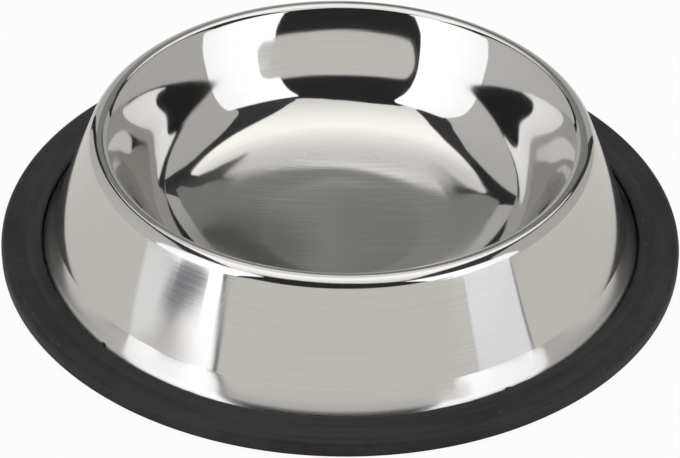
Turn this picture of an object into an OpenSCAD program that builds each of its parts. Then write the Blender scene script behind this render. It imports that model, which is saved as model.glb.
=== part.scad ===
// Low pet bowl that does not slide, made of two pieces turned about the Z axis.
// A single steel sheet is pressed into a shallow cup, a rolled rim, a sloping
// skirt and a flat flange. The flange sits in the groove of a moulded rubber
// ring, which stands on the ground. The origin is on the ground, at the centre.

/* [Bowl] */
// Height of the bowl over its rim
bowl_h = 39.6; // [35:0.1:54]
// Diameter of the rim along its crest
rim_d = 146.5; // [130:0.5:162]
// Radius of the rim's roll on its inner side
rim_r = 2.9; // [2:0.1:4]
// Radius of the rim's roll on its outer side, from the crest to the skirt
brow_r = 4.3; // [3:0.1:6]
// Thickness of the steel sheet
sheet_t = 0.5; // [0.4:0.05:1]

/* [Cup] */
// Height of the cup's flat floor above the ground
floor_h = 3.3; // [2.6:0.1:6]
// Slope, in degrees, at which the heel turns into the side of the cup
heel_a = 20; // [14:1:26]
// Radius of the soft heel that leads out of the flat floor
heel_r = 83; // [60:1:100]
// Radius of the curve that turns up the side of the cup
side_r = 23.6; // [18:0.2:29]
// Radius of the outward curve between the side and the rim
lip_r = 85; // [60:1:120]
// Level gap between the circle of the side and the circle of the rim
lip_run = 6.4; // [4:0.1:9]

/* [Skirt] */
// Radius of the long sweep that leads out of the straight skirt
sweep_r = 30; // [16:1:60]
// Slope, in degrees, that the sweep has lost where it turns into the flare,
// against a skirt that falls straight to that flare
sweep_turn = 6; // [3:0.5:10]
// Radius of the flare at the foot of the skirt
flare_r = 9; // [5:0.5:14]
// Slope, in degrees, that the flare has lost where it turns into the bend of the
// flange, against a skirt that falls straight to that bend
flare_turn = 24.8; // [16:0.2:36]
// Width of the flat flange that the ring holds
flange_w = 5.1; // [3:0.1:8]

/* [Ring] */
// Outer diameter of the ring
ring_d = 210; // [200:1:230]
// Height of the ring
ring_h = 4.4; // [3.8:0.1:7]
// Width of the ring's top, from its outer edge to the upper lip's inner edge
ring_w = 12.4; // [10:0.1:16]
// Thickness of the ring's upper lip, whose inner edge is a half round
lip_t = 1.6; // [1.2:0.1:2]
// Width of the ring's base, from its outer edge to the lower lip's inner edge
base_w = 15.5; // [12:0.1:19]
// Radius of the ring's upper outer edge
crown_r = 1.75; // [1:0.05:2.2]
// Radius of the ring's edges at the ground
foot_r = 0.4; // [0.2:0.05:0.8]

/* [Fit] */
// Clearance between the steel flange and the rubber around it
seat_gap = 0.3; // [0.2:0.05:0.5]

/* [Hidden] */
$fn = 180;

// Furthest that the points along an arc let it stray from the true circle
fine = 0.02;

// Unit vector that leans out from vertical by a slope, square to a sheet that
// falls outwards at that slope, and the same for a sheet that rises outwards
function out_of_fall(slope) = [sin(slope), cos(slope)];
function out_of_rise(slope) = [-sin(slope), cos(slope)];

// Angle of a vector in the plane of the section
function heading(v) = atan2(v[1], v[0]);

// Points along an arc, with both of its ends
function arc(centre, radius, from, to) =
    let (steps = ceil(abs(to - from) / (2 * acos(1 - fine / radius))))
    [for (i = [0:steps]) let (a = from + (to - from) * i / steps) centre + radius * [cos(a), sin(a)]];

// All points but the first, for an arc that starts where the last one ended
function rest(points) = [for (i = [1:len(points) - 1]) points[i]];
function reversed(points) = [for (i = [len(points) - 1:-1:0]) points[i]];

// Cup: the circles of the rim's two sides, the cup's side and the heel
rim_c = [rim_d / 2, bowl_h - rim_r];
brow_c = [rim_d / 2, bowl_h - brow_r];
heel_lift = heel_r * (1 - cos(heel_a));
side_c = [rim_c[0] - rim_r - side_r - lip_run, floor_h + heel_lift + side_r * cos(heel_a)];
heel_c = side_c + (heel_r - side_r) * out_of_rise(heel_a);

// The lip's circle touches the side's circle from outside and holds the rim's
// circle inside it, so its centre is the corner of a triangle of known sides
span = rim_c - side_c;
near = lip_r - rim_r;
far = lip_r + side_r;
lip_turn = acos((norm(span) ^ 2 + far ^ 2 - near ^ 2) / (2 * norm(span) * far));
lip_c = side_c + far * [cos(heading(span) - lip_turn), sin(heading(span) - lip_turn)];
side_end_a = heading(lip_c - side_c);
rim_start_a = heading(rim_c - lip_c);

// Ring: the half round nose of the upper lip, and the groove below it
nose_r = lip_t / 2;
nose_c = [ring_d / 2 - ring_w + nose_r, ring_h - nose_r];
lip_low = ring_h - lip_t;
flange_top = lip_low - seat_gap;
flange_edge = nose_c[0] + flange_w;
groove_low = flange_top - sheet_t - seat_gap;
groove_end = flange_edge + seat_gap;

// Angle of the normal of the line that falls from the rim's outer circle, and
// touches a circle on the other side of the sheet
function falling_n_a(centre, radius) =
    let (drop = centre - brow_c)
    heading(drop) + acos((brow_r + radius) / norm(drop));

// Skirt: the bend goes round the nose, the flare leads into the bend, the sweep
// leads into the flare, and the skirt is the line that touches the sweep's circle
bend_r = nose_r + seat_gap;
flare_a = 90 - falling_n_a(nose_c, bend_r) - flare_turn;
flare_c = nose_c + (flare_r - bend_r) * out_of_fall(flare_a);
sweep_a = 90 - falling_n_a(flare_c, flare_r) - sweep_turn;
sweep_c = flare_c + (sweep_r - flare_r) * out_of_fall(sweep_a);
skirt_n_a = falling_n_a(sweep_c, sweep_r);

// Line through the sheet at a depth below its outside, from the axis to the
// edge of the flange. Bends that open outwards widen with depth, others narrow.
function sheet_line(depth) = concat(
    [[0, floor_h - depth]],
    arc(heel_c, heel_r + depth, -90, heel_a - 90),
    rest(arc(side_c, side_r + depth, heel_a - 90, side_end_a)),
    rest(arc(lip_c, lip_r - depth, side_end_a + 180, rim_start_a)),
    rest(arc(rim_c, rim_r - depth, rim_start_a, 90)),
    rest(arc(brow_c, brow_r - depth, 90, skirt_n_a)),
    arc(sweep_c, sweep_r + depth, skirt_n_a + 180, 270 - sweep_a),
    rest(arc(flare_c, flare_r + depth, 270 - sweep_a, 270 - flare_a)),
    rest(arc(nose_c, bend_r + depth, 270 - flare_a, 270)),
    [[flange_edge, flange_top - depth]]
);

// Outline of the ring, round from the nose of its upper lip
function ring_outline() = let (outside = ring_d / 2, inside = outside - base_w) concat(
    arc(nose_c, nose_r, 270, 90),
    arc([outside - crown_r, ring_h - crown_r], crown_r, 90, 0),
    arc([outside - foot_r, foot_r], foot_r, 0, -90),
    arc([inside + foot_r, foot_r], foot_r, 270, 180),
    [[inside, groove_low], [groove_end, groove_low], [groove_end, lip_low]]
);

// The pressed steel shell
module steel_bowl() {
    color("silver") rotate_extrude() polygon(concat(sheet_line(0), reversed(sheet_line(sheet_t))));
}

// The moulded rubber ring
module rubber_ring() {
    color("#3a3a3a") rotate_extrude() polygon(ring_outline());
}

steel_bowl();
rubber_ring();
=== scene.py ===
"""Low steel pet bowl with a rubber ring round its foot.

Both pieces are turned about the Z axis from a line drawn with mesh operators.
The steel is a mirror, so most of its look is the studio that it reflects: a
pale ceiling, white light boxes, grey walls and the dark gaps between them.
"""

from math import acos, atan2, cos, degrees, pi, radians, sin, tau

import bmesh
import bpy
from bpy.props import FloatProperty, FloatVectorProperty, PointerProperty
from mathutils import Matrix, Vector, noise


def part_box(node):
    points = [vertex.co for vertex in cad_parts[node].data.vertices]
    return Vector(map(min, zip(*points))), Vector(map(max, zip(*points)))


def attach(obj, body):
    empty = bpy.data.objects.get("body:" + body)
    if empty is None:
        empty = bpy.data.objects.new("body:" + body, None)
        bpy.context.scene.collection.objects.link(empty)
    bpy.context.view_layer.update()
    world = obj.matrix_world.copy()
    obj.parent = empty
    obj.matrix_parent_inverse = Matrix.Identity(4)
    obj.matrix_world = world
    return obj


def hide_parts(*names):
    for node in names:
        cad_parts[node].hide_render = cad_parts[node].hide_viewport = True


bl_info = {
    "name": "Steel Pet Bowl",
    "version": (1, 0, 0),
    "blender": (4, 5, 0),
    "location": "3D View > Sidebar > Pet Bowl",
    "description": "Low steel pet bowl held at its foot by a rubber ring, and a studio to show it in",
    "category": "Add Mesh",
}

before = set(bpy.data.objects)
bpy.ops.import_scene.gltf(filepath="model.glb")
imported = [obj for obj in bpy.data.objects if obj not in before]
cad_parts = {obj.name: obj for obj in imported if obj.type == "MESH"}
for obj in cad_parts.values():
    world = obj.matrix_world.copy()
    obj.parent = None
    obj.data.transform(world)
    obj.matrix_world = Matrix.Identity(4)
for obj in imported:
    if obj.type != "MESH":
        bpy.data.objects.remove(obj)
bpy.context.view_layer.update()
BOWL_LOW, BOWL_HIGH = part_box("steel_bowl")
RING_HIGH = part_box("rubber_ring")[1]

MM = 0.001

# Slope of the cup's line in degrees, at shares of its length from the axis to the roll of the rim
CUP_SLOPES = [
    (0.0, 0.0),
    (0.25, 1.1),
    (0.42, 12.4),
    (0.52, 17.0),
    (0.62, 31.5),
    (0.72, 56.4),
    (0.82, 66.2),
    (0.91, 63.0),
    (1.0, 53.8),
]

# Steps of the bowl's line along each of its stretches, and round the axis
CUP_STEPS = 104
RIM_STEPS = 20
BROW_STEPS = 24
SKIRT_STEPS = 12
CREASE_STEPS = 5
SWEEP_STEPS = 8
FLARE_STEPS = 10
BEND_STEPS = 6
BOWL_TURN_STEPS = 240

# Steps of the ring's line along each of its rounded stretches and its top, and round the axis
NOSE_STEPS = 16
TOP_STEPS = 8
CROWN_STEPS = 10
FOOT_STEPS = 4
RING_TURN_STEPS = 720

# Vertices nearer than this are one vertex
MERGE_REACH = 0.001 * MM

# Unevenness of the inner edge of the ring's upper lip, in a coarse wave and one so many times finer, and
# how far below the lip a vertex still counts as part of it
LIP_WAVE = 0.16 * MM
LIP_WAVE_TURNS = 9
LIP_WAVE_FINER = 4
LIP_MARGIN = 0.1 * MM

# Moulding flash left on the lip: the azimuth of each bit from the camera's side, + to the right, its
# reach, and the angle that a bit takes up on each side of its tip
FLASH = [(-48.5, 1.4 * MM), (1, 0.6 * MM), (32, 0.8 * MM), (131, 0.7 * MM), (-148, 0.9 * MM)]
FLASH_WIDTH = radians(0.55)

# Spacing of the steel's polishing lines round the axis and of the floor's straight brush lines. Real ones
# are about 0.05 mm apart, too fine to show, so they are drawn coarser, with their real length.
POLISH_SPACING = 0.7 * MM
POLISH_LENGTH = 55 * MM
BRUSH_SPACING = 0.6 * MM
BRUSH_LENGTH = 34 * MM

# Light left in the darkest lines, and the depth and strength of the lines' relief
POLISH_SHADE = 0.965
BRUSH_SHADE = 0.875
LINE_DEPTH = 0.3 * MM
POLISH_RELIEF = 0.006
BRUSH_RELIEF = 0.036

# Values between which nearly all of a noise pattern lies
NOISE_LOW = 0.3
NOISE_HIGH = 0.7

# Widths over which the brushed floor gives way to the polished side, and the cup's finish to the skirt's
BRUSHED_EDGE = 4 * MM
SKIRT_EDGE = 3.5 * MM

# Heights between which the foot of the skirt turns softer, because the polishing wheel hardly reaches it
FOOT_LOW = 3.5 * MM
FOOT_HIGH = 11 * MM

# Roughness of each stretch of the steel, and how far smudges and lines move it from end to end
CUP_ROUGHNESS = 0.05
SKIRT_ROUGHNESS = 0.075
FOOT_ROUGHNESS = 0.185
FLOOR_ROUGHNESS = 0.075
SMUDGE_ROUGHNESS = 0.06
LINE_ROUGHNESS = 0.05

# Share of the cells of a pattern of specks that stay empty. A speck's size is a share of their spacing.
EMPTY_CELLS = 0.45

# Marks on the steel: smudges and flecks of dust that hide the metal, and painted shade, a patch of the cup's
# floor whose colour is darkened so that its reflection looks dimmer there
SMUDGE_SIZE = 30 * MM
FLECK_SPACING = 3.4 * MM
FLECK_SIZE = 0.05
FLECK_METALLIC = 0.55
PAINTED_SHADE_PLACE = (-28 * MM, -13 * MM, 4 * MM)
PAINTED_SHADE_REACH = 27 * MM
PAINTED_SHADE_LIGHT = 0.66

# Grain of the rubber's moulded skin, the faint rings left by the turned mould, and the dust on it
RUBBER_GRAIN = 0.8 * MM
RUBBER_RELIEF = 0.25 * MM
RUBBER_CLOUDS = 13 * MM
MOULD_RING_SPACING = 2.4 * MM
MOULD_RING_LENGTH = 60 * MM
DUST_SPACING = 2.2 * MM
DUST_SIZE = 0.12
DUST_SHARE = 0.4

# How far rubbing, the rings and the grain take the rubber to its worn colour, the grain's relief against
# that of the rings, and the rubber's least and greatest roughness
RUBBED_SHARE = 0.5
RINGED_SHARE = 0.45
GRAIN_SHARE = 0.3
GRAIN_RELIEF = 0.4
RUBBER_ROUGHNESS = (0.42, 0.58)

# The photo's frame, the focal length and the centre of the lens in its pixels, the width of the sensor in
# millimetres, and the nearest place that the camera sees
PHOTO_WIDTH = 680
PHOTO_HEIGHT = 458
FOCAL_LENGTH = 2551.4
LENS_CENTRE = (341.0, 192.4)
SENSOR_WIDTH = 36.0
NEAREST_SEEN = 50 * MM

# Height of the point on the axis that the camera looks at
AIM_HEIGHT = 15.75 * MM

# The sides of the cup mirror one another many times over
MIRROR_BOUNCES = 10

# Share of plain white in the floor, as the camera sees it. The rest holds the object's shadow.
FLOOR_WHITE = 0.93

# The ceiling's colour and light level. Only a share of the light is left on the camera's side, and it
# grows to all of it between two depths, which are values of the direction's Y.
CEILING_COLOUR = (1, 0.985, 0.96, 1)
CEILING_LEVEL = 1.47
CEILING_NEAR_SHARE = 0.66
CEILING_NEAR_DEPTH = -0.4
CEILING_FAR_DEPTH = 0.2

# The dim place of the ceiling over the back wall: the elevation of its middle, and the share of light that
# is left at angles in degrees from there
DIM_ELEVATION = radians(40)
CEILING_DIMMING = [
    (50, 1.0),
    (34, 0.98),
    (30.5, 0.9),
    (25.5, 0.77),
    (22.5, 0.65),
    (19, 0.57),
    (15.5, 0.61),
    (8, 0.74),
]

# Sheets of card, cloth and light round the object, as the steel sees them. Each has a distance, as a
# share of the studio's radius, its light level at its first and last station, and its stations: the
# azimuth from the camera's side, + to the right, and the lowest and highest elevation there.
STUDIO_SHEETS = [
    ("left_arch", 1.06, (0.05, 0.05, 0.054), (0.05, 0.05, 0.056), [
        (-158, 24, 39.5), (-156, 20, 38.4), (-155, 20, 39), (-153.8, 10, 41.5), (-150, 0, 45.6),
        (-145, 0, 50.6), (-140, 20, 54.4), (-135, 30, 57.3), (-129, 30, 59.8), (-120, 30, 61.8),
        (-110, 30, 63.3), (-100, 30, 63.8), (-90, 30, 62.9), (-82, 30, 61.8), (-75, 30, 60.3),
        (-67.5, 35, 58.3), (-61, 40, 55.8),
    ]),
    ("left_leg", 1.05, (0.028, 0.028, 0.028), (0.035, 0.035, 0.036), [
        (-153, 28, 40), (-151, 24, 42.5), (-149, 12, 44.5), (-147.5, 0, 46), (-143, 0, 49.5), (-140, 0, 51),
    ]),
    ("left_wall", 1.0, (0.58, 0.577, 0.57), (0.66, 0.655, 0.64), [
        (-143.8, 22, 33), (-143.3, 12, 37.5), (-142, 3, 41.9), (-140.5, 0, 44.2), (-139.4, 0, 45.6),
        (-135, 0, 49.4), (-129, 0, 52.1), (-120, 0, 53.5), (-110, 0, 54), (-101, 0, 53.5), (-95, 0, 51.9),
        (-90, 0, 50), (-85, 0, 48.1), (-81.3, 0, 47.3), (-79.2, 0, 46.5), (-77, 0, 44),
    ]),
    ("left_skirting", 0.985, (0.3, 0.3, 0.3), (0.3, 0.3, 0.3), [
        (-104, 0, 0.9), (-90, 0, 1), (-78, 0, 1), (-66, 0, 0.9),
    ]),
    ("left_light", 0.995, (1.4, 1.4, 1.42), (1.75, 1.75, 1.79), [
        (-78.3, 8, 46.5), (-77.6, 0, 48.5), (-75, 0, 50), (-72.5, 0, 50.8), (-66, 0, 52.2), (-60, 0, 53.8),
        (-52.5, 0, 54.6), (-46, 0, 55.5), (-43.5, 0, 54.8), (-42.8, 4, 54.6), (-41.4, 9, 54),
        (-40.6, 28, 53.4), (-39.5, 37, 52.3), (-38.7, 43, 50),
    ]),
    ("lamp_stand", 0.333, (0.12, 0.13, 0.15), (0.25, 0.26, 0.29), [
        (-67, 0.7, 0.9), (-65.5, 0.7, 1.3), (-64, 0.8, 2.3), (-62.4, 0.9, 3.7), (-61, 1.2, 4.8),
        (-59.5, 1.6, 5.5), (-57.5, 2.1, 6), (-54, 3, 6.4), (-51.5, 3.9, 6.4), (-49.5, 4.6, 6),
    ]),
    ("camera_gap", 1.06, (0.03, 0.03, 0.03), (0.03, 0.03, 0.03), [
        (-50, 45, 59.5), (-46, 20, 61.3), (-44, 0, 62.2), (-42, 0, 63), (-38, 0, 64.5), (-34, 0, 65.7),
        (-28, 0, 66.8), (-20, 0, 67), (-12, 0, 66.6), (-6, 0, 66), (0, 0, 65.5), (8, 0, 64.5),
        (16, 0, 61.5), (24, 0, 58.3), (32, 0, 54.7), (36, 0, 53.8), (38, 30, 52),
    ]),
    ("table_front", 0.98, (0.76, 0.742, 0.712), (0.76, 0.742, 0.712), [
        (-44.7, 4.2, 5.7), (-44, 3.6, 6.3), (-43, 2.9, 7.1), (-42, 1.6, 8), (-41.4, 0, 8.8),
        (-39.8, 0, 12.2), (-38.2, 0, 16.5), (-37, 0, 19.5), (-35, 0, 21.9), (-30, 0, 23.3), (-20, 0, 24.9),
        (-10, 0, 26), (0, 0, 26.4), (10, 0, 26), (20, 0, 25), (30, 0, 24), (36, 0, 23), (37.5, 0, 20.5),
        (39, 0, 15), (41, 0, 10.5), (43.5, 0, 8), (46, 0, 6.5), (48.6, 0, 5.3), (49.3, 0, 4.4),
        (49.6, 0, 1),
    ]),
    ("table_edge", 0.985, (0.06, 0.06, 0.06), (0.15, 0.15, 0.15), [
        (-46.2, 4.2, 6.6), (-45.4, 3.2, 7.6), (-44.4, 2.2, 8.4), (-43.4, 1, 9.6), (-42.7, 0, 10.4),
        (-41, 0, 14), (-39.3, 0, 18), (-37.8, 0, 21), (-35.4, 0, 23.1), (-30, 0, 24.3), (-24, 0, 25),
    ]),
    ("table_end", 0.985, (0.76, 0.75, 0.73), (0.82, 0.81, 0.79), [
        (36, 13, 22.8), (37.5, 13, 21.4), (42.5, 13, 20.6), (45.6, 13, 17.5), (46.3, 13, 14),
    ]),
    ("right_foot", 0.99, (1.06, 1.065, 1.11), (1.1, 1.1, 1.15), [
        (44, 0, 5), (48, 0, 7), (56, 0, 7), (64, 0, 6.5), (68.6, 0, 5), (69.4, 0, 3),
    ]),
    ("right_light", 0.995, (1.75, 1.75, 1.79), (1.4, 1.4, 1.43), [
        (31.6, 47, 49), (33, 40, 49), (34, 36, 48.8), (35.4, 28, 48.6), (36.2, 18, 48.4), (37, 0, 48.2),
        (40, 0, 47.8), (45, 0, 46.6), (50, 0, 45.2), (55, 0, 43.6), (60, 0, 41.9), (67.5, 0, 38.1),
        (69.5, 0, 37), (70.5, 3.5, 36.4), (73.8, 4, 34.6), (75, 4.5, 33.5), (75.6, 6, 32),
    ]),
    ("right_arch", 1.06, (0.06, 0.061, 0.066), (0.04, 0.04, 0.04), [
        (35.6, 45, 53), (36.3, 45, 54.5), (40, 40, 57.5), (50, 35, 61.3), (60, 30, 64.8), (70, 30, 66.5),
        (80, 30, 67.3), (90, 30, 66.9), (100, 30, 65.6), (107.5, 30, 63.8), (115, 30, 61), (120, 30, 58.3),
        (125, 30, 55.5), (130, 20, 52), (135, 0, 48), (140, 0, 43), (143, 0, 39.8), (144, 14, 39.5),
    ]),
    ("right_wall", 1.0, (0.585, 0.575, 0.56), (0.545, 0.535, 0.515), [
        (69.4, 0, 20), (73, 0, 40), (76, 0, 44), (80, 0, 46.6), (87.5, 0, 49.4), (95, 0, 51.3),
        (105, 0, 52.5), (115, 0, 51.6), (122.5, 0, 48.8), (128.8, 0, 45), (133, 0, 41.3), (135, 0, 36),
        (135.8, 0, 28), (137, 0, 20), (138.5, 0, 12), (140, 0, 5),
    ]),
    ("behind_gap_left", 1.06, (0.045, 0.045, 0.045), (0.045, 0.045, 0.045), [
        (-180, 20, 43.5), (-170, 20, 44), (-165, 20, 44), (-163, 20, 45), (-162, 20, 48), (-161.3, 20, 53.5),
        (-160.6, 20, 48), (-160, 20, 43), (-158, 20, 39.5), (-156, 20, 38.3), (-154.5, 10, 38.8),
        (-150, 0, 40),
    ]),
    ("behind_gap_right", 1.06, (0.05, 0.05, 0.05), (0.16, 0.16, 0.157), [
        (143, 0, 39.8), (145, 0, 39.4), (150, 15, 42), (153.8, 20, 46.5), (156.3, 20, 52),
        (157.3, 20, 55.5), (158.3, 20, 53), (159.4, 20, 48.5), (160.5, 20, 45.5), (163, 20, 43.8),
        (170, 20, 43.5), (180, 20, 43.5),
    ]),
    ("behind_middle_left", 0.99, (0.3, 0.298, 0.29), (0.27, 0.27, 0.262), [
        (-180, 15, 47.3), (-177, 16.5, 45.7), (-170, 22.5, 45.3), (-167, 26.5, 44.7), (-163, 30, 42),
        (-157, 31, 38), (-153.5, 31, 33),
    ]),
    ("behind_middle_right", 0.99, (0.24, 0.24, 0.235), (0.28, 0.28, 0.273), [
        (147, 28.6, 32.6), (150, 29, 35), (153, 29, 37), (157, 29, 40), (160.3, 29, 44.5), (162, 29, 47.5),
        (163.8, 28, 49.4), (167, 26, 50.6), (171, 21.5, 51), (175, 18, 50), (180, 15, 47.3),
    ]),
    ("behind_shade", 0.985, (0.15, 0.15, 0.147), (0.19, 0.19, 0.185), [
        (166.6, 26, 30.5), (169, 23.5, 32.5), (172, 20, 33.6), (175, 17, 34), (180, 14, 34),
    ]),
    ("behind_left", 1.0, (0.58, 0.578, 0.57), (0.5, 0.498, 0.49), [
        (-180, 0, 35), (-170, 0, 35), (-165, 0, 34), (-160, 0, 33), (-155, 0, 31), (-152, 0, 27.5),
        (-150, 0, 23), (-148, 0, 14), (-147, 0, 4),
    ]),
    ("behind_right", 1.0, (0.5, 0.495, 0.485), (0.46, 0.455, 0.445), [
        (143, 0, 8), (144, 0, 14), (146, 0, 20), (148, 0, 24.5), (151, 0, 28), (155, 0, 31), (160, 0, 33),
        (165, 0, 34.3), (172, 0, 35), (180, 0, 35),
    ]),
]

# Cuts across each face of a sheet, so that it follows the dome
SHEET_CUTS = 3

# What the steel sees of the table top beside the ring: light level, and corners in metres from the axis.
# The patches lie just above the floor.
FLOOR_PATCHES = [
    ("left_glare", (1.0, 1.005, 1.02), [(-0.17, -0.088), (-0.17, -0.084), (-1.3, -0.67), (-1.45, -0.17)]),
    ("right_glare", (1.0, 1.005, 1.05), [(0.16, -0.1), (1.3, -0.47), (0.95, -0.8), (0.12, -0.1)]),
    ("right_seam", (0.35, 0.35, 0.35), [(0.2, -0.112), (0.2, -0.108), (1.3, -0.45), (1.3, -0.475)]),
]
PATCH_LIFT = 0.05 * MM


def linear(code):
    """Linear colour of an sRGB colour written as six hex digits."""
    shares = [int(code[i : i + 2], 16) / 255 for i in (0, 2, 4)]
    return [c / 12.92 if c <= 0.04045 else ((c + 0.055) / 1.055) ** 2.4 for c in shares]


def colour_setting(name, description, code):
    """A colour that a user may change, with its default in hex digits."""
    return FloatVectorProperty(
        name=name, description=description, default=linear(code), subtype="COLOR", min=0, max=1
    )


def length_setting(name, description, millimetres):
    """A length that a user may change, with its default in millimetres."""
    return FloatProperty(
        name=name, description=description, default=millimetres * MM, unit="LENGTH", min=0, precision=5
    )


def angle_setting(name, description, turn):
    """An angle that a user may change, with its default in degrees."""
    return FloatProperty(name=name, description=description, default=radians(turn), unit="ROTATION")


class BowlSettings(bpy.types.PropertyGroup):
    """Sizes and colour of the pressed steel bowl."""

    rim_diameter: length_setting("Rim diameter", "Diameter of the rim along its crest", 146.5)
    rim_radius: length_setting("Rim radius", "Radius of the roll that the rim is turned over", 2.9)
    sheet: length_setting("Sheet", "Thickness of the steel sheet", 0.5)
    brow_radius: length_setting("Brow radius", "Radius of the rim's outer side, down to the skirt", 4.3)
    crease_radius: length_setting("Crease radius", "Radius of the crease below the straight skirt", 2.5)
    sweep_radius: length_setting("Sweep radius", "Radius of the long sweep below the crease", 75)
    sweep_arc: angle_setting("Sweep arc", "Slope lost along the sweep", 4.2)
    sweep_turn: angle_setting("Sweep turn", "Slope lost down to the flare, against a straight skirt", 7.6)
    flare_radius: length_setting("Flare radius", "Radius of the flare at the foot of the skirt", 9)
    flare_turn: angle_setting("Flare turn", "Slope lost down to the bend, against a straight skirt", 24.8)
    brushed_radius: length_setting("Brushed radius", "Radius of the brushed middle of the cup's floor", 40)
    steel: colour_setting("Steel", "Colour that the steel gives to what it reflects", "D5D4D2")


class RingSettings(bpy.types.PropertyGroup):
    """Sizes and colours of the rubber ring."""

    width: length_setting("Width", "Width of the ring's top", 12.4)
    lip: length_setting("Lip", "Thickness of the upper lip, whose inner edge is a half round", 1.6)
    base_width: length_setting("Base width", "Width of the ring's base", 15.5)
    crown_radius: length_setting("Crown radius", "Radius of the ring's upper outer edge", 1.75)
    foot_radius: length_setting("Foot radius", "Radius of the ring's edges at the ground", 0.4)
    clearance: length_setting("Clearance", "Clearance between the steel flange and the rubber", 0.3)
    rubber: colour_setting("Rubber", "Colour of the rubber", "111112")
    worn_rubber: colour_setting("Worn rubber", "Colour of the rubber where it is rubbed", "303030")
    dust: colour_setting("Dust", "Colour of the dust on the rubber", "9A9A98")


class StudioSettings(bpy.types.PropertyGroup):
    """Sizes and colour of the studio, and the camera's place."""

    elevation: angle_setting("Elevation", "Angle of the camera above the floor", 35.53)
    roll: angle_setting("Roll", "Turn of the camera about its line of sight", 0.891)
    distance: length_setting("Distance", "From the camera to the middle of the object", 787.5)
    dome_radius: length_setting("Studio radius", "Distance of the studio's walls from the object", 1500)
    floor_size: length_setting("Floor size", "Width of the square floor", 8000)
    floor: colour_setting("Floor", "Colour of the floor", "E0DDD9")


class PetBowlSettings(bpy.types.PropertyGroup):
    """All settings of the bowl, its ring and its studio."""

    bowl: PointerProperty(type=BowlSettings)
    ring: PointerProperty(type=RingSettings)
    studio: PointerProperty(type=StudioSettings)


def settings():
    """The settings, as the scene holds them."""
    return bpy.context.scene.pet_bowl


def finished(name, bm, material):
    """Object at the origin, smooth shaded, that holds a bmesh."""
    mesh = bpy.data.meshes.new(name)
    for face in bm.faces:
        face.smooth = True
    bm.to_mesh(mesh)
    bm.free()
    mesh.materials.append(material)
    piece = bpy.data.objects.new(name, mesh)
    bpy.context.scene.collection.objects.link(piece)
    return piece


def heading(direction):
    """Angle of a direction in the section, where x is the radius and y the height."""
    return atan2(direction.y, direction.x)


def toward(angle):
    """Direction of an angle in the section."""
    return Vector((cos(angle), sin(angle)))


def falling_normal(start, start_radius, centre, radius):
    """Angle of the normal of the line that touches a circle, and then one on the other side of the sheet."""
    drop = centre - start
    return heading(drop) + acos((start_radius + radius) / drop.length)


def start_line(bm, place):
    """Starts the line of a section and returns its first vertex."""
    return bmesh.ops.create_vert(bm, co=(place.x, 0, place.y))["vert"][0]


def line_to(bm, last, place, steps=1):
    """Draws a straight stretch of the section and returns its last vertex."""
    step = (Vector((place.x, 0, place.y)) - last.co) / steps
    for _ in range(steps):
        last = bmesh.ops.extrude_vert_indiv(bm, verts=[last])["verts"][0]
        bmesh.ops.translate(bm, verts=[last], vec=step)
    return last


def arc(bm, last, centre, turn, steps):
    """Draws an arc of the section by spinning its last vertex. A positive turn runs from radius to height."""
    spun = bmesh.ops.spin(
        bm, geom=[last], cent=(centre.x, 0, centre.y), axis=(0, -1, 0), angle=turn, steps=steps
    )
    return next(part for part in spun["geom_last"] if isinstance(part, bmesh.types.BMVert))


def turn_round(bm, steps):
    """Turns the section about the axis, merges what meets there and at the seam, and points the faces out."""
    geom = bm.verts[:] + bm.edges[:]
    bmesh.ops.spin(bm, geom=geom, cent=(0, 0, 0), axis=(0, 0, 1), angle=tau, steps=steps, use_merge=True)
    bmesh.ops.remove_doubles(bm, verts=bm.verts, dist=MERGE_REACH)
    bmesh.ops.recalc_face_normals(bm, faces=bm.faces)


def smooth_between(knots, place):
    """Value at a place between listed knots, on a smooth curve that never passes them."""
    gaps = [b[0] - a[0] for a, b in zip(knots, knots[1:])]
    rises = [(b[1] - a[1]) / gap for a, b, gap in zip(knots, knots[1:], gaps)]
    slopes = [0.0]
    for i in range(len(gaps) - 1):
        before, after = rises[i], rises[i + 1]
        if before * after <= 0:
            slopes.append(0.0)
        else:
            weight_a = 2 * gaps[i + 1] + gaps[i]
            weight_b = gaps[i + 1] + 2 * gaps[i]
            slopes.append((weight_a + weight_b) / (weight_a / before + weight_b / after))
    slopes.append(rises[-1])
    i = max(k for k in range(len(gaps)) if knots[k][0] <= place or k == 0)
    t = (place - knots[i][0]) / gaps[i]
    start, end = knots[i][1], knots[i + 1][1]
    return (
        start * (1 + 2 * t) * (1 - t) ** 2
        + end * t * t * (3 - 2 * t)
        + gaps[i] * (slopes[i] * t * (1 - t) ** 2 - slopes[i + 1] * t * t * (1 - t))
    )


def nose_of_ring(ring):
    """Centre and radius of the half round that the ring's upper lip ends in."""
    radius = ring.lip / 2
    return Vector((RING_HIGH.x - ring.width + radius, RING_HIGH.z - radius)), radius


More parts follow.
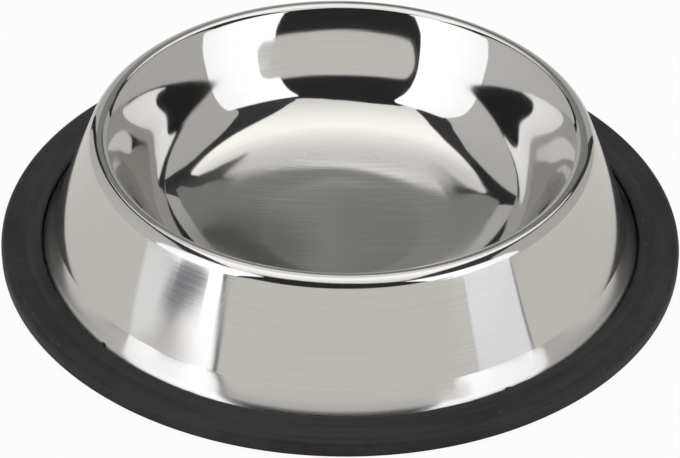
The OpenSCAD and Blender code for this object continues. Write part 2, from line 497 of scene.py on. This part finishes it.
def steel_shell(bowl, ring):
    """The pressed shell: cup, rolled rim, skirt, flare and flange, from one sheet."""
    crest = Vector((bowl.rim_diameter / 2, BOWL_HIGH.z))
    rim = crest - Vector((0, bowl.rim_radius))
    brow = crest - Vector((0, bowl.brow_radius))
    nose, nose_radius = nose_of_ring(ring)
    bend_radius = nose_radius + ring.clearance
    flare_angle = falling_normal(brow, bowl.brow_radius, nose, bend_radius) + bowl.flare_turn
    flare = nose + (bowl.flare_radius - bend_radius) * toward(flare_angle)
    sweep_angle = falling_normal(brow, bowl.brow_radius, flare, bowl.flare_radius) + bowl.sweep_turn
    sweep = flare + (bowl.sweep_radius - bowl.flare_radius) * toward(sweep_angle)
    crease_angle = sweep_angle - bowl.sweep_arc
    crease = sweep - (bowl.sweep_radius - bowl.crease_radius) * toward(crease_angle)
    skirt_angle = falling_normal(brow, bowl.brow_radius, crease, bowl.crease_radius)
    rim_start = pi / 2 + radians(CUP_SLOPES[-1][1])

    bm = bmesh.new()
    cup_end = rim + bowl.rim_radius * toward(rim_start)
    slopes = [radians(smooth_between(CUP_SLOPES, (i + 0.5) / CUP_STEPS)) for i in range(CUP_STEPS)]
    step = cup_end.x / sum(cos(slope) for slope in slopes)
    place = Vector((0, cup_end.y - step * sum(sin(slope) for slope in slopes)))
    last = start_line(bm, place)
    for slope in slopes:
        place += step * toward(slope)
        last = line_to(bm, last, place)
    last = arc(bm, last, rim, pi / 2 - rim_start, RIM_STEPS)
    last = arc(bm, last, brow, skirt_angle - pi / 2, BROW_STEPS)
    last = line_to(bm, last, crease - bowl.crease_radius * toward(skirt_angle), SKIRT_STEPS)
    last = arc(bm, last, crease, crease_angle - skirt_angle, CREASE_STEPS)
    last = arc(bm, last, sweep, bowl.sweep_arc, SWEEP_STEPS)
    last = arc(bm, last, flare, flare_angle - sweep_angle, FLARE_STEPS)
    last = arc(bm, last, nose, pi / 2 - flare_angle, BEND_STEPS)
    line_to(bm, last, Vector((BOWL_HIGH.x, nose.y - bend_radius)))

    turn_round(bm, BOWL_TURN_STEPS)
    middle = min(bm.faces, key=lambda face: face.calc_center_median().xy.length)
    if middle.normal.z < 0:
        bmesh.ops.reverse_faces(bm, faces=bm.faces)
    bmesh.ops.solidify(bm, geom=bm.faces, thickness=bowl.sheet)
    return bm


def lip_shift(angle):
    """How far the lip's inner edge lies off its circle, + outwards, at an angle round the axis."""
    shift = LIP_WAVE * noise.noise(LIP_WAVE_TURNS * Vector((cos(angle), sin(angle), 0)))
    fine_turns = LIP_WAVE_FINER * LIP_WAVE_TURNS
    shift += LIP_WAVE * noise.noise(fine_turns * Vector((cos(angle), sin(angle), 1)))
    # The camera's side, azimuth 0, is at an angle of -90 degrees
    for azimuth, reach in FLASH:
        off = (angle - radians(azimuth - 90) + pi) % tau - pi
        shift -= reach * max(0, 1 - abs(off) / FLASH_WIDTH)
    return shift


def rubber_body(ring):
    """The moulded ring, with the groove that holds the bowl's flange."""
    nose, nose_radius = nose_of_ring(ring)
    outside = RING_HIGH.x
    top = RING_HIGH.z
    inside = outside - ring.base_width
    crown = Vector((outside - ring.crown_radius, top - ring.crown_radius))
    foot = Vector((outside - ring.foot_radius, ring.foot_radius))
    inner_foot = Vector((inside + ring.foot_radius, ring.foot_radius))
    groove_end = BOWL_HIGH.x + ring.clearance
    lip_low = top - ring.lip
    groove_low = BOWL_LOW.z - ring.clearance

    bm = bmesh.new()
    first = start_line(bm, nose + nose_radius * toward(-pi / 2))
    last = arc(bm, first, nose, -pi, NOSE_STEPS)
    last = line_to(bm, last, crown + ring.crown_radius * toward(pi / 2), TOP_STEPS)
    last = arc(bm, last, crown, -pi / 2, CROWN_STEPS)
    last = line_to(bm, last, foot + Vector((ring.foot_radius, 0)))
    last = arc(bm, last, foot, -pi / 2, FOOT_STEPS)
    last = line_to(bm, last, inner_foot - Vector((0, ring.foot_radius)))
    last = arc(bm, last, inner_foot, -pi / 2, FOOT_STEPS)
    last = line_to(bm, last, Vector((inside, groove_low)))
    last = line_to(bm, last, Vector((groove_end, groove_low)))
    last = line_to(bm, last, Vector((groove_end, lip_low)))
    bmesh.ops.contextual_create(bm, geom=[last, first])
    turn_round(bm, RING_TURN_STEPS)
    for vert in bm.verts:
        reach = (nose.x - vert.co.xy.length) / nose_radius
        if reach > 0 and vert.co.z > lip_low - LIP_MARGIN:
            vert.co.xy += vert.co.xy.normalized() * reach * lip_shift(atan2(vert.co.y, vert.co.x))
    return bm


def add(tree, kind, inputs=None, **choices):
    """Adds a node, makes its choices, and fills its inputs with values or with links.

    A node that is given as an input stands for the first output that its choices leave it.
    """
    made = tree.nodes.new(kind)
    for name, value in choices.items():
        setattr(made, name, value)
    for key, value in (inputs or {}).items():
        if isinstance(value, bpy.types.Node):
            value = next(socket for socket in value.outputs if socket.enabled)
        if isinstance(value, bpy.types.NodeSocket):
            tree.links.new(value, made.inputs[key])
        else:
            made.inputs[key].default_value = value
    return made


def new_material(name):
    """A material with an empty node tree."""
    material = bpy.data.materials.new(name)
    material.use_nodes = True
    material.node_tree.nodes.clear()
    return material, material.node_tree


def turned_axes(tree):
    """Coordinates of a turned piece: its place, its axes, its radius and the direction outwards."""
    place = add(tree, "ShaderNodeTexCoord").outputs["Object"]
    axes = add(tree, "ShaderNodeSeparateXYZ", {0: place}).outputs
    flat = add(tree, "ShaderNodeCombineXYZ", {"X": axes["X"], "Y": axes["Y"]})
    radius = add(tree, "ShaderNodeVectorMath", {0: flat}, operation="LENGTH")
    outwards = add(tree, "ShaderNodeVectorMath", {0: flat}, operation="NORMALIZE")
    return place, axes, radius, outwards


def round_lines(tree, outwards, across, spacing, length, reach):
    """Coordinates of lines round the axis, of a spacing across them and a length at a reach from the axis."""
    steps = add(tree, "ShaderNodeMath", {0: across, 1: spacing}, operation="DIVIDE")
    lift = add(tree, "ShaderNodeCombineXYZ", {"Z": steps})
    turns = {0: outwards, 1: [reach / length] * 3, 2: lift}
    return add(tree, "ShaderNodeVectorMath", turns, operation="MULTIPLY_ADD")


def scattered_specks(tree, place, spacing, size):
    """Mask of round specks of unlike sizes, scattered unevenly. Their size is a share of their spacing."""
    cells = add(tree, "ShaderNodeTexVoronoi", {"Vector": place, "Scale": 1 / spacing})
    chance = add(tree, "ShaderNodeSeparateColor", {"Color": cells.outputs["Color"]}).outputs["Red"]
    filled = {"Value": chance, "From Min": EMPTY_CELLS}
    share = add(tree, "ShaderNodeMapRange", filled, interpolation_type="SMOOTHSTEP")
    reach = add(tree, "ShaderNodeMath", {0: share, 1: size}, operation="MULTIPLY")
    beyond = add(tree, "ShaderNodeMath", {0: cells.outputs["Distance"], 1: reach}, operation="SUBTRACT")
    edge = {"Value": beyond, "From Min": -size / 2, "From Max": 0, "To Min": 1, "To Max": 0}
    return add(tree, "ShaderNodeMapRange", edge, interpolation_type="SMOOTHSTEP")


def stretches_of_steel(tree, bowl, radius, height):
    """Masks of the cup's brushed floor, of the skirt, and of the skirt's foot."""
    low, high = bowl.brushed_radius - BRUSHED_EDGE, bowl.brushed_radius + BRUSHED_EDGE
    middle = {"Value": radius, "From Min": low, "From Max": high, "To Min": 1, "To Max": 0}
    floor = add(tree, "ShaderNodeMapRange", middle, interpolation_type="SMOOTHSTEP")
    crest = bowl.rim_diameter / 2
    outside = {"Value": radius, "From Min": crest, "From Max": crest + SKIRT_EDGE}
    skirt = add(tree, "ShaderNodeMapRange", outside, interpolation_type="SMOOTHSTEP")
    low_down = {"Value": height, "From Min": FOOT_LOW, "From Max": FOOT_HIGH, "To Min": 1, "To Max": 0}
    low_share = add(tree, "ShaderNodeMapRange", low_down, interpolation_type="SMOOTHSTEP")
    foot = add(tree, "ShaderNodeMath", {0: skirt, 1: low_share}, operation="MULTIPLY")
    return floor, skirt, foot


def polished_steel(bowl):
    """Stainless steel, pressed, machine polished, with a brushed cup floor.

    Polishing leaves fine lines round the axis, which smear reflections across them. The floor of the cup
    is brushed straight across, which makes it a soft grey. It carries smudges, flecks of dust, and painted
    shade: a patch of the floor darkened in its colour.
    """
    material, tree = new_material("polished_stainless_steel")
    place, axes, radius, outwards = turned_axes(tree)
    floor, skirt, foot = stretches_of_steel(tree, bowl, radius, axes["Z"])

    # The lines are counted along the section: up the cup's side, and on down the skirt
    side = add(tree, "ShaderNodeMath", {0: skirt, 1: -2, 2: 1}, operation="MULTIPLY_ADD")
    along = add(tree, "ShaderNodeMath", {0: axes["Z"], 1: side, 2: radius}, operation="MULTIPLY_ADD")
    polish = round_lines(tree, outwards, along, POLISH_SPACING, POLISH_LENGTH, bowl.rim_diameter / 2)
    brushed = {"Vector": place, "Scale": (1 / BRUSH_LENGTH, 1 / BRUSH_SPACING, 0)}
    brush = add(tree, "ShaderNodeMapping", brushed)
    line_place = add(tree, "ShaderNodeMix", {"Factor": floor, "A": polish, "B": brush}, data_type="VECTOR")
    streaky = {"Vector": line_place, "Scale": 1, "Detail": 3, "Roughness": 0.62}
    lines = add(tree, "ShaderNodeTexNoise", streaky)
    smeared = {"Vector": place, "Scale": 1 / SMUDGE_SIZE, "Detail": 4, "Roughness": 0.6}
    smudges = add(tree, "ShaderNodeTexNoise", smeared)

    roughness = CUP_ROUGHNESS
    for share, level in ((skirt, SKIRT_ROUGHNESS), (foot, FOOT_ROUGHNESS), (floor, FLOOR_ROUGHNESS)):
        roughness = add(tree, "ShaderNodeMix", {"Factor": share, "A": roughness, "B": level})
    for marks, spread in ((smudges, SMUDGE_ROUGHNESS), (lines, LINE_ROUGHNESS)):
        marked = {0: marks, 1: spread, 2: roughness}
        roughness = add(tree, "ShaderNodeMath", marked, operation="MULTIPLY_ADD")
    # Both patterns lie evenly about 0.5, so half of their spread is taken off again
    half = (SMUDGE_ROUGHNESS + LINE_ROUGHNESS) / 2
    roughness = add(tree, "ShaderNodeMath", {0: roughness, 1: half}, operation="SUBTRACT", use_clamp=True)

    darkest = add(tree, "ShaderNodeMix", {"Factor": floor, "A": POLISH_SHADE, "B": BRUSH_SHADE})
    contrast = {"Value": lines, "From Min": NOISE_LOW, "From Max": NOISE_HIGH, "To Min": darkest}
    shade = add(tree, "ShaderNodeMapRange", contrast, interpolation_type="SMOOTHSTEP")
    # Painted shade: the colour is darkened in a patch of the cup's floor, so that its reflection looks dimmer
    # there
    to_painted_shade = add(tree, "ShaderNodeVectorMath", {0: place, 1: PAINTED_SHADE_PLACE}, operation="DISTANCE")
    patch = {"Value": to_painted_shade, "From Min": PAINTED_SHADE_REACH / 3, "From Max": PAINTED_SHADE_REACH, "To Min": PAINTED_SHADE_LIGHT}
    painted_shade = add(tree, "ShaderNodeMapRange", patch, interpolation_type="SMOOTHSTEP")
    lines_and_painted_shade = add(tree, "ShaderNodeMath", {0: shade, 1: painted_shade}, operation="MULTIPLY")
    tint = {"Factor": 1, "A": (*bowl.steel, 1), "B": lines_and_painted_shade}
    colour = add(tree, "ShaderNodeMix", tint, data_type="RGBA", blend_type="MULTIPLY")

    relief = add(tree, "ShaderNodeMix", {"Factor": floor, "A": POLISH_RELIEF, "B": BRUSH_RELIEF})
    bump = add(tree, "ShaderNodeBump", {"Strength": relief, "Distance": LINE_DEPTH, "Height": lines})
    quarter = {"Vector": outwards, "Angle": pi / 2}
    around = add(tree, "ShaderNodeVectorRotate", quarter, rotation_type="Z_AXIS")
    grain = add(tree, "ShaderNodeMix", {"Factor": floor, "A": around, "B": (1, 0, 0)}, data_type="VECTOR")
    flecks = scattered_specks(tree, place, FLECK_SPACING, FLECK_SIZE)
    bare = add(tree, "ShaderNodeMix", {"Factor": flecks, "A": 1, "B": FLECK_METALLIC})
    shader = add(
        tree,
        "ShaderNodeBsdfPrincipled",
        {
            "Base Color": colour,
            "Metallic": bare,
            "Roughness": roughness,
            "Normal": bump,
            "Anisotropic": 0.93,
            "Anisotropic Rotation": 0.25,
            "Tangent": grain,
        },
    )
    add(tree, "ShaderNodeOutputMaterial", {"Surface": shader})
    return material


def moulded_rubber(ring):
    """Black rubber, moulded: a matte, finely pitted skin with faint rings, greyer where rubbed, with dust."""
    material, tree = new_material("moulded_black_rubber")
    place, _, radius, outwards = turned_axes(tree)
    pitted = {"Vector": place, "Scale": 1 / RUBBER_GRAIN, "Detail": 4, "Roughness": 0.7}
    grain = add(tree, "ShaderNodeTexNoise", pitted)
    clouded = {"Vector": place, "Scale": 1 / RUBBER_CLOUDS, "Detail": 5, "Roughness": 0.65}
    clouds = add(tree, "ShaderNodeTexNoise", clouded)
    ring_place = round_lines(tree, outwards, radius, MOULD_RING_SPACING, MOULD_RING_LENGTH, RING_HIGH.x)
    turned = {"Vector": ring_place, "Scale": 1, "Detail": 2.5, "Roughness": 0.55}
    rings = add(tree, "ShaderNodeTexNoise", turned)

    wear = {"Value": clouds, "From Min": NOISE_LOW, "From Max": 0.75, "To Max": RUBBED_SHARE}
    rubbed = add(tree, "ShaderNodeMapRange", wear, interpolation_type="SMOOTHSTEP")
    marks = {"Value": rings, "From Min": NOISE_LOW, "From Max": NOISE_HIGH, "To Max": RINGED_SHARE}
    ringed = add(tree, "ShaderNodeMapRange", marks, interpolation_type="SMOOTHSTEP")
    worn = add(tree, "ShaderNodeMath", {0: rubbed, 1: ringed}, operation="ADD")
    all_wear = {0: grain, 1: GRAIN_SHARE, 2: worn}
    shade = add(tree, "ShaderNodeMath", all_wear, operation="MULTIPLY_ADD", use_clamp=True)
    skin = {"Factor": shade, "A": (*ring.rubber, 1), "B": (*ring.worn_rubber, 1)}
    colour = add(tree, "ShaderNodeMix", skin, data_type="RGBA")
    specks = scattered_specks(tree, place, DUST_SPACING, DUST_SIZE)
    dust = add(tree, "ShaderNodeMath", {0: specks, 1: DUST_SHARE}, operation="MULTIPLY")
    dusty = add(tree, "ShaderNodeMix", {"Factor": dust, "A": colour, "B": (*ring.dust, 1)}, data_type="RGBA")

    softness = {
        "Value": clouds,
        "From Min": NOISE_LOW,
        "From Max": NOISE_HIGH,
        "To Min": RUBBER_ROUGHNESS[0],
        "To Max": RUBBER_ROUGHNESS[1],
    }
    roughness = add(tree, "ShaderNodeMapRange", softness, interpolation_type="SMOOTHSTEP")
    relief = add(tree, "ShaderNodeMath", {0: grain, 1: GRAIN_RELIEF, 2: rings}, operation="MULTIPLY_ADD")
    bump = add(tree, "ShaderNodeBump", {"Strength": 0.5, "Distance": RUBBER_RELIEF, "Height": relief})
    shader = add(
        tree,
        "ShaderNodeBsdfPrincipled",
        {"Base Color": dusty, "Roughness": roughness, "Specular IOR Level": 0.28, "Normal": bump},
    )
    add(tree, "ShaderNodeOutputMaterial", {"Surface": shader})
    return material


def show_in_steel(name, bm):
    """Makes a glowing sheet that only the steel's reflection sees."""
    material, tree = new_material("studio_" + name)
    level = add(tree, "ShaderNodeAttribute", attribute_name="glow")
    glow = add(tree, "ShaderNodeEmission", {"Color": level.outputs["Color"], "Strength": 1})
    add(tree, "ShaderNodeOutputMaterial", {"Surface": glow})
    material.cycles.emission_sampling = "NONE"
    sheet = finished("studio_" + name, bm, material)
    sheet.visible_camera = False
    sheet.visible_diffuse = False
    sheet.visible_shadow = False
    sheet.visible_transmission = False
    sheet.visible_volume_scatter = False


def dome_place(studio, share, azimuth, elevation):
    """Place on the studio's dome. Azimuth 0 is on the camera's side and 90 to the right."""
    a, e = radians(azimuth), radians(elevation)
    return studio.dome_radius * share * Vector((sin(a) * cos(e), -cos(a) * cos(e), sin(e)))


def light_sheet(studio, name, share, first_level, last_level, stations):
    """A sheet of the studio: its foot is drawn, raised, cut finely and pressed against the dome."""
    bm = bmesh.new()
    places = [dome_place(studio, share, azimuth, low) for azimuth, low, _ in stations]
    last = bmesh.ops.create_vert(bm, co=places[0])["vert"][0]
    for place in places[1:]:
        last = bmesh.ops.extrude_vert_indiv(bm, verts=[last])["verts"][0]
        last.co = place
    foot = bm.verts[:]
    raised = bmesh.ops.extrude_edge_only(bm, edges=bm.edges[:])["geom"]
    for top in [part for part in raised if isinstance(part, bmesh.types.BMVert)]:
        below = next(edge.other_vert(top) for edge in top.link_edges if edge.other_vert(top) in foot)
        azimuth, _, high = stations[foot.index(below)]
        top.co = dome_place(studio, share, azimuth, high)
    bmesh.ops.subdivide_edges(bm, edges=bm.edges[:], cuts=SHEET_CUTS, use_grid_fill=True)
    glow = bm.verts.layers.float_color.new("glow")
    start, end = stations[0][0], stations[-1][0]
    for vert in bm.verts:
        vert.co = vert.co.normalized() * studio.dome_radius * share
        passed = (degrees(atan2(vert.co.x, -vert.co.y)) - start) / (end - start)
        vert[glow] = (*Vector(first_level).lerp(Vector(last_level), min(max(passed, 0), 1)), 1)
    show_in_steel(name, bm)


def floor_patch(name, level, corners):
    """A patch of the table top that looks different in the steel's reflection."""
    bm = bmesh.new()
    glow = bm.verts.layers.float_color.new("glow")
    verts = [bmesh.ops.create_vert(bm, co=(x, y, PATCH_LIFT))["vert"][0] for x, y in corners]
    bmesh.ops.contextual_create(bm, geom=verts)
    for vert in bm.verts:
        vert[glow] = (*level, 1)
    show_in_steel(name, bm)


def pale_floor(studio):
    """Matte painted board, which turns nearly white for the camera and keeps the object's shadow."""
    bm = bmesh.new()
    bmesh.ops.create_grid(bm, x_segments=1, y_segments=1, size=studio.floor_size / 2)
    material, tree = new_material("pale_floor")
    matte = add(tree, "ShaderNodeBsdfDiffuse", {"Color": (*studio.floor, 1)})
    plain = add(tree, "ShaderNodeEmission", {"Color": (1, 1, 1, 1), "Strength": 1})
    seen = add(tree, "ShaderNodeLightPath").outputs["Is Camera Ray"]
    share = add(tree, "ShaderNodeMath", {0: seen, 1: FLOOR_WHITE}, operation="MULTIPLY")
    both = add(tree, "ShaderNodeMixShader", {0: share, 1: matte, 2: plain})
    add(tree, "ShaderNodeOutputMaterial", {"Surface": both})
    material.cycles.emission_sampling = "NONE"
    finished("floor", bm, material)


def studio_light():
    """The world: white behind the object, pale for its matte surfaces, a ceiling in its reflections."""
    world = bpy.data.worlds.new("studio")
    bpy.context.scene.world = world
    world.use_nodes = True
    world.cycles.sampling_method = "NONE"
    tree = world.node_tree
    tree.nodes.clear()
    direction = add(tree, "ShaderNodeTexCoord").outputs["Generated"]
    axes = add(tree, "ShaderNodeSeparateXYZ", {0: direction}).outputs
    falloff = {
        "Value": axes["Y"],
        "From Min": CEILING_NEAR_DEPTH,
        "From Max": CEILING_FAR_DEPTH,
        "To Min": CEILING_NEAR_SHARE,
    }
    toward_back = add(tree, "ShaderNodeMapRange", falloff)
    dim_side = (0, cos(DIM_ELEVATION), sin(DIM_ELEVATION))
    near_dim = add(tree, "ShaderNodeVectorMath", {0: direction, 1: dim_side}, operation="DOT_PRODUCT")
    rings = add(tree, "ShaderNodeValToRGB", {"Fac": near_dim})
    rings.color_ramp.interpolation = "EASE"
    stops = rings.color_ramp.elements
    while len(stops) < len(CEILING_DIMMING):
        stops.new(0.5)
    for stop, (angle, share) in zip(stops, CEILING_DIMMING):
        stop.position = cos(radians(angle))
        stop.color = (share, share, share, 1)
    dimmed = add(tree, "ShaderNodeMath", {0: toward_back, 1: rings}, operation="MULTIPLY")
    level = add(tree, "ShaderNodeMath", {0: dimmed, 1: CEILING_LEVEL}, operation="MULTIPLY")
    ceiling = add(tree, "ShaderNodeBackground", {"Color": CEILING_COLOUR, "Strength": level})
    plain = add(tree, "ShaderNodeBackground", {"Color": (1, 1, 1, 1), "Strength": 1})
    mirrored = add(tree, "ShaderNodeLightPath").outputs["Is Glossy Ray"]
    both = add(tree, "ShaderNodeMixShader", {0: mirrored, 1: plain, 2: ceiling})
    add(tree, "ShaderNodeOutputWorld", {"Surface": both})


def photo_camera(studio):
    """Camera at the photo's viewing angle, with the photo's lens and frame."""
    back = Vector((0, -cos(studio.elevation), sin(studio.elevation)))
    level = Vector((1, 0, 0))
    upright = back.cross(level)
    right = level * cos(studio.roll) + upright * sin(studio.roll)
    up = back.cross(right)
    data = bpy.data.cameras.new("camera")
    data.sensor_width = SENSOR_WIDTH
    data.lens = FOCAL_LENGTH / PHOTO_WIDTH * SENSOR_WIDTH
    data.shift_x = (PHOTO_WIDTH / 2 - LENS_CENTRE[0]) / PHOTO_WIDTH
    data.shift_y = (LENS_CENTRE[1] - PHOTO_HEIGHT / 2) / PHOTO_WIDTH
    data.clip_start = NEAREST_SEEN
    camera = bpy.data.objects.new("camera", data)
    bpy.context.scene.collection.objects.link(camera)
    turn = Matrix((right, up, back)).transposed().to_4x4()
    camera.matrix_world = Matrix.Translation(Vector((0, 0, AIM_HEIGHT)) + back * studio.distance) @ turn
    bpy.context.scene.camera = camera


class PETBOWL_OT_stage(bpy.types.Operator):
    """Add the floor, the studio and the camera"""

    bl_idname = "petbowl.stage"
    bl_label = "Stage"
    bl_options = {"REGISTER", "UNDO"}

    def execute(self, context):
        studio = settings().studio
        bpy.context.scene.view_settings.view_transform = "Standard"
        bpy.context.scene.cycles.glossy_bounces = MIRROR_BOUNCES
        photo_camera(studio)
        pale_floor(studio)
        studio_light()
        for sheet in STUDIO_SHEETS:
            light_sheet(studio, *sheet)
        for patch in FLOOR_PATCHES:
            floor_patch(*patch)
        return {"FINISHED"}


class PETBOWL_OT_steel_bowl(bpy.types.Operator):
    """Add the pressed steel bowl"""

    bl_idname = "petbowl.steel_bowl"
    bl_label = "Steel Bowl"
    bl_options = {"REGISTER", "UNDO"}

    def execute(self, context):
        parts = settings()
        shell = steel_shell(parts.bowl, parts.ring)
        piece = finished("pressed_steel_bowl", shell, polished_steel(parts.bowl))
        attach(piece, "bowl")
        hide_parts("steel_bowl")
        return {"FINISHED"}


class PETBOWL_OT_rubber_ring(bpy.types.Operator):
    """Add the rubber ring that keeps the bowl from sliding"""

    bl_idname = "petbowl.rubber_ring"
    bl_label = "Rubber Ring"
    bl_options = {"REGISTER", "UNDO"}

    def execute(self, context):
        ring = settings().ring
        piece = finished("moulded_rubber_ring", rubber_body(ring), moulded_rubber(ring))
        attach(piece, "ring")
        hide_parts("rubber_ring")
        return {"FINISHED"}


class PETBOWL_PT_sidebar(bpy.types.Panel):
    """Settings and steps of the pet bowl"""

    bl_idname = "PETBOWL_PT_sidebar"
    bl_label = "Pet Bowl"
    bl_space_type = "VIEW_3D"
    bl_region_type = "UI"
    bl_category = "Pet Bowl"

    def draw(self, context):
        for part in (settings().bowl, settings().ring, settings().studio):
            for name in part.__annotations__:
                self.layout.prop(part, name)
        for operator in (PETBOWL_OT_stage, PETBOWL_OT_steel_bowl, PETBOWL_OT_rubber_ring):
            self.layout.operator(operator.bl_idname)


CLASSES = (
    BowlSettings,
    RingSettings,
    StudioSettings,
    PetBowlSettings,
    PETBOWL_OT_stage,
    PETBOWL_OT_steel_bowl,
    PETBOWL_OT_rubber_ring,
    PETBOWL_PT_sidebar,
)


def register():
    """Registers the classes, and gives the scene the bowl's settings."""
    for cls in CLASSES:
        bpy.utils.register_class(cls)
    bpy.types.Scene.pet_bowl = PointerProperty(type=PetBowlSettings)


def unregister():
    """Takes back what register did."""
    del bpy.types.Scene.pet_bowl
    for cls in reversed(CLASSES):
        bpy.utils.unregister_class(cls)


def main():
    """Makes the stage and both pieces."""
    register()
    bpy.ops.petbowl.stage()
    bpy.ops.petbowl.steel_bowl()
    bpy.ops.petbowl.rubber_ring()


if __name__ == "__main__":
    main()
